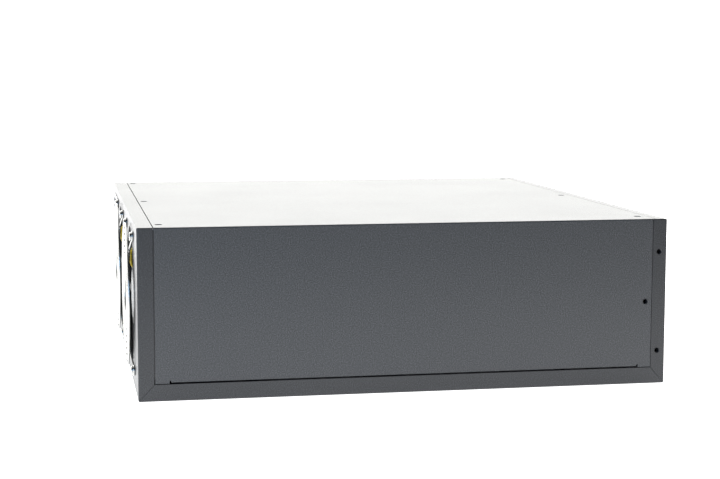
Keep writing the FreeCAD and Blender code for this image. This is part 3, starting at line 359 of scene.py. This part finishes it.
def inked(name, colour, glow=0.0):
    """Ink or lit segments: one colour with a faint unevenness."""
    mat = Nodes(name)
    cloud = mat.noise(900.0, 2.0)
    tone = mat.ramp(cloud, [(0.3, shade(colour, 0.8)), (0.7, colour)])
    mat.colour(tone)
    mat.roughness(mat.span(cloud, 0.4, 0.55))
    if glow:
        mat.link(tone, mat.shader.inputs["Emission Color"])
        mat.set(Emission_Strength=glow)
    return mat.material


def sticker():
    """White label stock with small grey specks in place of print."""
    mat = Nodes("sticker")
    specks = mat.cells(700.0)
    fibres = mat.noise(400.0, 4.0)
    mat.colour(mat.ramp(specks, [(0.18, (0.10, 0.10, 0.10)), (0.34, (0.62, 0.62, 0.61))]))
    mat.roughness(mat.span(fibres, 0.45, 0.6))
    mat.bump([(fibres, 0.00003, 0.4)])
    return mat.material


def recorded(slot):
    """The record's own colour for a slot."""
    return tuple(next(m for m in RECORD["materials"] if m["slot"] == slot)["base_color"][:3])


def make_materials():
    made = {
        "chassis_paint": powder_coat("chassis_paint", recorded("chassis_paint")),
        "panel_paint": powder_coat("panel_paint", recorded("panel_paint")),
        "nickel_wire": plated("nickel_wire", shade(recorded("nickel_wire"), 0.8), 0.16),
        "zinc_steel": zinc("zinc_steel", shade(recorded("zinc_steel"), 0.7)),
        "dark_screws": plated("dark_screws", recorded("dark_screws"), 0.34),
        "brass": plated("brass", recorded("brass"), 0.22),
        "aluminium": zinc("aluminium", recorded("aluminium")),
        "foot_rubber": moulded("foot_rubber", recorded("foot_rubber"), 0.80, 700.0, 0.0002),
        "circuit_board": circuit_board("circuit_board", recorded("circuit_board")),
        "display_glass": clear_plastic("display_glass", recorded("display_glass"), 0.28),
        "lamp_plastic": inked("lamp_plastic", (0.25, 0.95, 0.35), 0.8),
        "coil_tape": wound("coil_tape", recorded("coil_tape"), 0.30, 90.0),
        "copper_wire": wound("copper_wire", recorded("copper_wire"), 0.22, 160.0),
        "ribbon_grey": wound("ribbon_grey", recorded("ribbon_grey"), 0.45, 120.0),
        "ferrite": moulded("ferrite", recorded("ferrite"), 0.55, 900.0, 0.00015),
    }
    glossy = ("gloss_black", "lead_yellow", "lead_red", "can_sleeve", "relay_case", "screen")
    for slot in {m["slot"] for m in RECORD["materials"]} - set(made):
        rough = 0.22 if slot in glossy else 0.50
        made[slot] = moulded(slot, recorded(slot), rough)
    return made


# --- Mesh helpers ------------------------------------------------------------------------

def even_shading(thing):
    """Lets each large face set the shading at its edges, so that flat faces look flat."""
    modifier = thing.modifiers.new("even", "WEIGHTED_NORMAL")
    modifier.keep_sharp = True
    modifier.weight = 80
    settled = thing.evaluated_get(bpy.context.evaluated_depsgraph_get())
    mesh = bpy.data.meshes.new_from_object(settled)
    thing.modifiers.clear()
    thing.data = mesh


def piece(name, mesh, material, body, replaced=(), even=False):
    """Finishes a piece: its material, the body it rides on and what it stands for."""
    thing = bpy.data.objects.new(name, mesh)
    bpy.context.scene.collection.objects.link(thing)
    if even:
        even_shading(thing)
        mesh = thing.data
    mesh.materials.clear()
    mesh.materials.append(material)
    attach(thing, body)
    if replaced:
        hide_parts(*replaced)
    return thing


def mesh_from(bm, name, smooth_angle=40.0):
    mesh = bpy.data.meshes.new(name)
    bmesh.ops.recalc_face_normals(bm, faces=bm.faces)
    limit = math.radians(smooth_angle)
    for face in bm.faces:
        face.smooth = True
    for edge in bm.edges:
        edge.smooth = len(edge.link_faces) == 2 and edge.calc_face_angle(0.0) < limit
    bm.to_mesh(mesh)
    bm.free()
    return mesh


def softened(node, width, segments=2):
    """The node's own shape with its sharp edges broken, as folded, cast or moulded edges are."""
    bm = bmesh.new()
    bm.from_mesh(frame["nodes"][node].data)
    bmesh.ops.remove_doubles(bm, verts=bm.verts, dist=1e-6)
    bmesh.ops.dissolve_limit(bm, angle_limit=math.radians(0.5), verts=bm.verts, edges=bm.edges)
    sharp = [edge for edge in bm.edges
             if len(edge.link_faces) == 2 and edge.calc_face_angle(0.0) > math.radians(35)]
    bmesh.ops.bevel(bm, geom=sharp, offset=width, offset_type="OFFSET", segments=segments,
                    profile=0.6, affect="EDGES", clamp_overlap=True)
    return mesh_from(bm, node + "_soft")


def tube(bm, points, radius, closed=False, sides=12):
    """Round wire through points, with its rings turned as little as possible."""
    count = len(points)
    tangents = []
    for i in range(count):
        if closed:
            ahead, behind = points[(i + 1) % count], points[i - 1]
        else:
            ahead, behind = points[min(i + 1, count - 1)], points[max(i - 1, 0)]
        tangents.append((ahead - behind).normalized())
    across = tangents[0].orthogonal().normalized()
    rings = []
    for point, tangent in zip(points, tangents):
        across = (across - tangent * across.dot(tangent)).normalized()
        other = tangent.cross(across)
        ring = []
        for k in range(sides):
            a = 2 * math.pi * k / sides
            ring.append(bm.verts.new(point + radius * (across * math.cos(a) + other * math.sin(a))))
        rings.append(ring)
    pairs = list(zip(rings, rings[1:])) + ([(rings[-1], rings[0])] if closed else [])
    for a, b in pairs:
        for k in range(sides):
            bm.faces.new((a[k], a[(k + 1) % sides], b[(k + 1) % sides], b[k]))
    if not closed:
        bm.faces.new(rings[0][::-1])
        bm.faces.new(rings[-1])


def circle(centre, radius, count):
    """Points of an upright circle facing along Y."""
    turn = [2 * math.pi * i / count for i in range(count)]
    return [centre + Vector((radius * math.cos(a), 0, radius * math.sin(a))) for a in turn]


def arc(centre, radius, start, end, count=28):
    """Points of an upright arc facing along Y, its ends in degrees from +X."""
    points = []
    for k in range(count + 1):
        a = math.radians(start + (end - start) * k / count)
        points.append(centre + Vector((radius * math.cos(a), 0, radius * math.sin(a))))
    return points


def rounded(points, radius, steps=6):
    """The path with each inner corner replaced by a smooth bend."""
    path = [points[0]]
    for before, corner, after in zip(points, points[1:], points[2:]):
        start = corner + (before - corner).normalized() * radius
        end = corner + (after - corner).normalized() * radius
        for i in range(steps + 1):
            t = i / steps
            path.append(start * (1 - t) ** 2 + corner * 2 * t * (1 - t) + end * t ** 2)
    return path + [points[-1]]


def lathe(bm, centre, profile, count=64):
    """Turns (radius, y) points about an axis along Y; the ends are closed where the radius is 0."""
    rings = []
    for radius, y in profile:
        if radius < 1e-7:
            rings.append([bm.verts.new(centre + Vector((0, y, 0)))])
        else:
            rings.append([bm.verts.new(p + Vector((0, y, 0))) for p in circle(centre, radius, count)])
    for a, b in zip(rings, rings[1:]):
        for k in range(count):
            n = (k + 1) % count
            if len(a) == 1:
                bm.faces.new((a[0], b[n], b[k]))
            elif len(b) == 1:
                bm.faces.new((a[k], a[n], b[0]))
            else:
                bm.faces.new((a[k], a[n], b[n], b[k]))


def upright_disc(bm, centre, radius, height, count=32):
    """Disc standing on centre with a broken upper edge."""
    rings = []
    for r, z in ((radius, 0.0), (radius, 0.7 * height), (0.88 * radius, height)):
        turn = [2 * math.pi * k / count for k in range(count)]
        rings.append([bm.verts.new(centre + Vector((r * math.cos(a), r * math.sin(a), z))) for a in turn])
    for a, b in zip(rings, rings[1:]):
        for k in range(count):
            n = (k + 1) % count
            bm.faces.new((a[k], a[n], b[n], b[k]))
    bm.faces.new(rings[0][::-1])
    bm.faces.new(rings[-1])


def slab(bm, x0, x1, y0, y1, z0, z1):
    """A plain block between two corners."""
    outline = ((x0, y0), (x1, y0), (x1, y1), (x0, y1))
    corners = [bm.verts.new((x, y, z)) for z in (z0, z1) for x, y in outline]
    for k in range(4):
        n = (k + 1) % 4
        bm.faces.new((corners[k], corners[n], corners[n + 4], corners[k + 4]))
    bm.faces.new(corners[3::-1])
    bm.faces.new(corners[4:])


# --- Fans --------------------------------------------------------------------------------

GUARD_WIRE = 0.8 * MM
GUARD_RINGS = [17.0 * MM + 5.0 * MM * i for i in range(9)]
SCREW_OFFSET = 52.5 * MM
LOOP_RADIUS = 3.5 * MM
FAN_BLADES = 7
HUB_RADIUS = 23.5 * MM
BLADE_TIP = 56.0 * MM
SHAFT_RADIUS = 1.5 * MM
LABEL_RADIUS = 19.0 * MM
LABEL_THICK = 0.25 * MM
LEAD_RADIUS = 1.08 * MM


def fan_centre(letter):
    """The fan's axis at y = 0, and its inner and outer faces."""
    low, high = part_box("fan_frame_" + letter)
    return Vector(((low.x + high.x) / 2, 0.0, (low.z + high.z) / 2)), low.y, high.y


def make_guard(letter, materials):
    """Welded wire finger guard."""
    centre, _, _ = fan_centre(letter)
    low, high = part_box("fan_guard_" + letter)
    ring_y = high.y - GUARD_WIRE
    leg_y = ring_y - 1.3 * MM
    loop_y = low.y + GUARD_WIRE
    bm = bmesh.new()
    for radius in GUARD_RINGS:
        tube(bm, circle(centre + Vector((0, ring_y, 0)), radius, 120), GUARD_WIRE, closed=True)
    outer = GUARD_RINGS[-1] + 1.5 * MM
    for a in (-1, 1):
        for b in (-1, 1):
            out = Vector((a, 0, b)).normalized()
            corner = centre + Vector((a * SCREW_OFFSET, 0, b * SCREW_OFFSET))
            reach = (corner - centre).length - LOOP_RADIUS
            route = [
                centre + out * GUARD_RINGS[0] + Vector((0, leg_y, 0)),
                centre + out * outer + Vector((0, leg_y, 0)),
                centre + out * reach + Vector((0, loop_y, 0)),
            ]
            tube(bm, rounded(route, 3.0 * MM), GUARD_WIRE)
            tube(bm, circle(corner + Vector((0, loop_y, 0)), LOOP_RADIUS, 40), GUARD_WIRE, closed=True)
    mesh = mesh_from(bm, "guard_" + letter, 60.0)
    piece("wire_guard_" + letter, mesh, materials["nickel_wire"], "chassis",
          ["fan_guard_" + letter])


def blade_surface(bm, centre, y_mid, turn, hub, tip):
    """One twisted, cambered blade from the hub to the tip."""
    spans, chords = 10, 8
    grid = {}
    for i in range(spans + 1):
        s = i / spans
        radius = hub + (tip - hub) * s
        pitch = math.radians(46 - 18 * s)
        chord = (22 + 16 * s) * MM
        thick = (1.0 - 0.45 * s) * MM
        sweep = math.radians(16 * s * s)
        for j in range(chords + 1):
            t = j / chords - 0.5
            camber = 2.4 * MM * (1 - 4 * t * t)
            edge = thick * math.sqrt(max(0.06, 1 - 4 * t * t))
            for side in (0, 1):
                lift = camber + (edge if side else -edge)
                along = chord * t * math.cos(pitch) - lift * math.sin(pitch)
                deep = chord * t * math.sin(pitch) + lift * math.cos(pitch) - 1.6 * MM
                a = turn + sweep + along / radius
                place = Vector((radius * math.cos(a), y_mid + deep, radius * math.sin(a)))
                grid[i, j, side] = bm.verts.new(centre + place)

    def quad(*keys):
        bm.faces.new([grid[k] for k in keys])

    for i in range(spans):
        for j in range(chords):
            quad((i, j, 0), (i + 1, j, 0), (i + 1, j + 1, 0), (i, j + 1, 0))
            quad((i, j, 1), (i, j + 1, 1), (i + 1, j + 1, 1), (i + 1, j, 1))
        quad((i, 0, 0), (i, 0, 1), (i + 1, 0, 1), (i + 1, 0, 0))
        quad((i, chords, 0), (i + 1, chords, 0), (i + 1, chords, 1), (i, chords, 1))
    for j in range(chords):
        quad((0, j, 0), (0, j + 1, 0), (0, j + 1, 1), (0, j, 1))
        quad((spans, j, 0), (spans, j, 1), (spans, j + 1, 1), (spans, j + 1, 0))


def make_rotor(letter, materials):
    """Hub cup with rounded rim, seven blades and the shaft."""
    centre, _, _ = fan_centre(letter)
    low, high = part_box("fan_rotor_" + letter)
    back, shaft_end = low.y, high.y
    front = shaft_end - 2.1 * MM
    hub = HUB_RADIUS
    bm = bmesh.new()
    cup = [(0, back), (hub - 2.5 * MM, back), (hub - 0.8 * MM, back + 0.5 * MM), (hub, back + 1.8 * MM),
           (hub, front), (hub - 1.8 * MM, front), (hub - 2.0 * MM, back + 3.0 * MM), (0, back + 3.0 * MM)]
    lathe(bm, centre, cup)
    shaft = [(0, back + 2.5 * MM), (SHAFT_RADIUS, back + 2.5 * MM), (SHAFT_RADIUS, shaft_end - 0.3 * MM),
             (SHAFT_RADIUS - 0.3 * MM, shaft_end), (0, shaft_end)]
    lathe(bm, centre, shaft, 24)
    for k in range(FAN_BLADES):
        turn = 2 * math.pi * k / FAN_BLADES
        blade_surface(bm, centre, (back + front) / 2, turn, hub - 0.6 * MM, BLADE_TIP)
    mesh = mesh_from(bm, "rotor_" + letter, 50.0)
    name = "fan_rotor_" + letter
    piece("impeller_" + letter, mesh, materials["black_plastic"], name, [name])


def make_hub_label(letter, materials):
    """Round sticker on the fan's fixed hub."""
    centre, _, outer = fan_centre(letter)
    bm = bmesh.new()
    lathe(bm, centre, [(0, outer), (LABEL_RADIUS - 0.2 * MM, outer),
                       (LABEL_RADIUS, outer + 0.6 * LABEL_THICK),
                       (LABEL_RADIUS - 0.3 * MM, outer + LABEL_THICK), (0, outer + LABEL_THICK)])
    mesh = mesh_from(bm, "label_" + letter)
    piece("hub_label_" + letter, mesh, materials["sticker"], "chassis")


def make_fan_leads(materials):
    """The fans' leads: out of the hub, up the arm, over the frame and down inside."""
    bm = bmesh.new()
    for letter in "ab":
        centre, inner, outer = fan_centre(letter)
        above, sunk, behind = outer + 1.1 * MM, outer - 1.3 * MM, inner - 4.0 * MM
        route = [(sunk, 20.8), (above, 25.0), (above, 34.0), (sunk, 38.0), (sunk, 58.8),
                 (behind, 58.8), (behind, -40.0)]
        points = [centre + Vector((0, y, up * MM)) for y, up in route]
        tube(bm, rounded(points, 1.8 * MM), LEAD_RADIUS)
    mesh = mesh_from(bm, "leads", 60.0)
    piece("fan_lead_pair", mesh, materials["lead_yellow"], "chassis", ["fan_leads"])


# --- Front display -----------------------------------------------------------------------

SCREEN_MARGIN = 7.0 * MM
INK_THICK = 0.12 * MM
MARK_WIRE = 0.22 * MM


def make_screen_picture(materials):
    """A load bar, a battery bar, three short lines and a wave on the liquid crystal panel."""
    low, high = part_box("screen_module")
    left, right, bottom = low.x + SCREEN_MARGIN, high.x - SCREEN_MARGIN, low.z + SCREEN_MARGIN
    ink, glass = low.y - INK_THICK, low.y - 0.01 * MM
    bm = bmesh.new()
    for row, lit in ((0, 6), (1, 4)):
        z = bottom + 6.0 * MM * row
        for k in range(lit):
            x = left + 4.2 * MM * k
            slab(bm, x, x + 3.2 * MM, ink, glass, z, z + 3.6 * MM)
    wave = []
    for k in range(61):
        x = left + (right - left) * k / 60
        z = bottom + 15.5 * MM + 2.2 * MM * math.sin(2 * math.pi * k / 20)
        wave.append(Vector((x, low.y - 0.3 * MM, z)))
    tube(bm, wave, 0.28 * MM, sides=8)
    for k in range(3):
        z = bottom + 3.6 * MM * k
        slab(bm, right - 13.0 * MM, right - 3.0 * MM * k, ink, glass, z, z + 1.4 * MM)
    piece("screen_picture", mesh_from(bm, "picture"), materials["screen_ink"], "chassis")


def make_key_marks(materials):
    """A raised mark on each key: a ring and bar, a horn and stroke, a triangle and a bent arrow."""
    for name in ("power_key", "mute_key", "scroll_key", "enter_key"):
        low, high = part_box(name)
        centre = Vector(((low.x + high.x) / 2, low.y - 0.02 * MM, (low.z + high.z) / 2))
        strokes = {
            "power_key": [arc(centre, 1.7 * MM, 125, 415), [(0, 0.6), (0, 2.2)]],
            "mute_key": [[(-1.8, -0.7), (-0.6, -0.7), (0.6, -1.8), (0.6, 1.8), (-0.6, 0.7),
                          (-1.8, 0.7), (-1.8, -0.7)],
                         [(1.2, -1.2), (2.4, 1.2)]],
            "scroll_key": [[(-1.8, 0.9), (0, -1.2), (1.8, 0.9), (-1.8, 0.9)]],
            "enter_key": [[(2.0, 1.4), (2.0, -0.4), (-1.8, -0.4)], [(-0.7, 0.7), (-1.8, -0.4), (-0.7, -1.5)]],
        }[name]
        bm = bmesh.new()
        for stroke in strokes:
            if not isinstance(stroke[0], Vector):
                stroke = [centre + Vector((x * MM, 0, z * MM)) for x, z in stroke]
            tube(bm, stroke, MARK_WIRE, sides=8)
        mesh = mesh_from(bm, name + "_mark")
        piece(name + "_mark", mesh, materials["mark_ink"], name)


# --- Sockets, batteries and wound parts --------------------------------------------------

NETWORK_Z = (44.0 * MM, 60.0 * MM)
CONTACTS = 8
CONTACT_PITCH = 1.27 * MM
BATTERY_WIDTH = 65.0 * MM
BATTERY_LENGTH = 151.0 * MM
BATTERY_GAP = 1.0 * MM
TERMINAL_RISE = 5.0 * MM
VENT_CAPS = 6
CAPACITOR_RADIUS = 15.0 * MM


def make_network_contacts(materials):
    """Eight sprung gold contacts in each of the two network ports."""
    low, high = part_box("data_ports")
    rear = high.y - 0.8 * MM
    middle = (low.x + high.x) / 2
    bm = bmesh.new()
    spring = ((3.6, 1.0), (1.6, 6.5), (1.9, 11.5))
    for port_z in NETWORK_Z:
        for k in range(CONTACTS):
            z = port_z + (k - (CONTACTS - 1) / 2) * CONTACT_PITCH
            path = [Vector((middle + out * MM, rear - deep * MM, z)) for out, deep in spring]
            tube(bm, rounded(path, 1.0 * MM), 0.2 * MM, sides=8)
    mesh = mesh_from(bm, "contacts", 60.0)
    piece("network_contacts", mesh, materials["brass"], "chassis")


def make_battery_labels(materials):
    """A plain label and a row of vent caps on top of each battery block."""
    low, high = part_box("batteries")
    top = high.z - TERMINAL_RISE
    paper, caps = bmesh.new(), bmesh.new()
    for column in (0, 1):
        for row in (0, 1):
            x = low.x + column * (BATTERY_WIDTH + BATTERY_GAP)
            y = low.y + row * (BATTERY_LENGTH + BATTERY_GAP)
            slab(paper, x + 12 * MM, x + BATTERY_WIDTH - 12 * MM, y + 84 * MM, y + 128 * MM,
                 top, top + 0.2 * MM)
            for k in range(VENT_CAPS):
                centre = Vector((x + 14 * MM + 7.4 * MM * k, y + 68 * MM, top))
                upright_disc(caps, centre, 2.6 * MM, 1.2 * MM)
    for name, bm, look in (("battery_labels", paper, "sticker"), ("battery_caps", caps, "gloss_black")):
        piece(name, mesh_from(bm, name), materials[look], "battery_drawer")


def make_capacitor_tops(materials):
    """Bare aluminium ends with a raised rim where the sleeves stop."""
    low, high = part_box("bus_capacitors")
    radius = CAPACITOR_RADIUS
    bm = bmesh.new()
    for i in range(2):
        for j in range(3):
            x = low.x + radius + i * (high.x - low.x - 2 * radius)
            y = low.y + radius + j * (high.y - low.y - 2 * radius) / 2
            upright_disc(bm, Vector((x, y, high.z)), 0.86 * radius, 0.4 * MM, 48)
    piece("capacitor_tops", mesh_from(bm, "tops"), materials["aluminium"], "chassis")


def make_choke_windings(materials):
    """Enamelled wire wound round each ring core."""
    low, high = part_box("chokes")
    major, minor, wire = 14.5 * MM, 5.3 * MM, 1.1 * MM
    bm = bmesh.new()
    turns, steps = 34, 14
    for end in (low.x + 6.5 * MM, high.x - 6.5 * MM):
        centre = Vector((end, (low.y + high.y) / 2, (low.z + high.z) / 2))
        path = []
        for k in range(turns * steps):
            a = 2 * math.pi * k / (turns * steps)
            b = turns * a
            out = major + minor * math.cos(b)
            path.append(centre + Vector((minor * math.sin(b), out * math.cos(a), out * math.sin(a))))
        tube(bm, path, wire, closed=True, sides=8)
    mesh = mesh_from(bm, "windings", 60.0)
    piece("choke_windings", mesh, materials["copper_wire"], "chassis", ["chokes"])


# --- Build -------------------------------------------------------------------------------

SOFT_EDGES = {
    "top_cover": 0.25, "rear_panel": 0.25, "front_panel": 0.25, "base_pan": 0.25, "drawer_front": 0.25,
    "feet": 0.5, "case_screws": 0.08, "ear_inserts": 0.10, "fan_screws": 0.12,
    "fan_frame_a": 0.6, "fan_frame_b": 0.6, "thumb_screws": 0.12, "battery_tray": 0.2, "batteries": 0.8,
    "battery_plug": 0.4, "display_bezel": 0.4, "display_lens": 0.1, "power_key": 0.15, "mute_key": 0.15,
    "scroll_key": 0.15, "enter_key": 0.15, "inlet_socket": 0.3, "inlet_pins": 0.3, "outlet_sockets": 0.3,
    "breaker_body": 0.4, "breaker_button": 0.2, "battery_port": 0.4, "earth_stud": 0.2, "serial_port": 0.2,
    "data_ports": 0.2, "stop_terminal": 0.3,
}


def dress_nodes(materials):
    """Gives every node its slot's material."""
    for name, node in frame["nodes"].items():
        node.data.materials.clear()
        node.data.materials.append(materials[SLOT_OF[name]])


def soften_visible(materials):
    """Stands a piece with broken edges in for each node that can be seen."""
    for node, width in SOFT_EDGES.items():
        slot = SLOT_OF[node]
        mesh = softened(node, width * MM)
        piece(node + "_shell", mesh, materials[slot], BODY_OF[node], [node], even=True)


make_camera()
make_studio()
MATERIALS = make_materials()
MATERIALS["sticker"] = sticker()
MATERIALS["screen_ink"] = inked("screen_ink", (0.75, 0.92, 1.0), 1.2)
MATERIALS["mark_ink"] = inked("mark_ink", (0.85, 0.85, 0.84))
dress_nodes(MATERIALS)
soften_visible(MATERIALS)
for fan in "ab":
    make_guard(fan, MATERIALS)
    make_rotor(fan, MATERIALS)
    make_hub_label(fan, MATERIALS)
make_fan_leads(MATERIALS)
make_screen_picture(MATERIALS)
make_key_marks(MATERIALS)
make_network_contacts(MATERIALS)
make_battery_labels(MATERIALS)
make_capacitor_tops(MATERIALS)
make_choke_windings(MATERIALS)
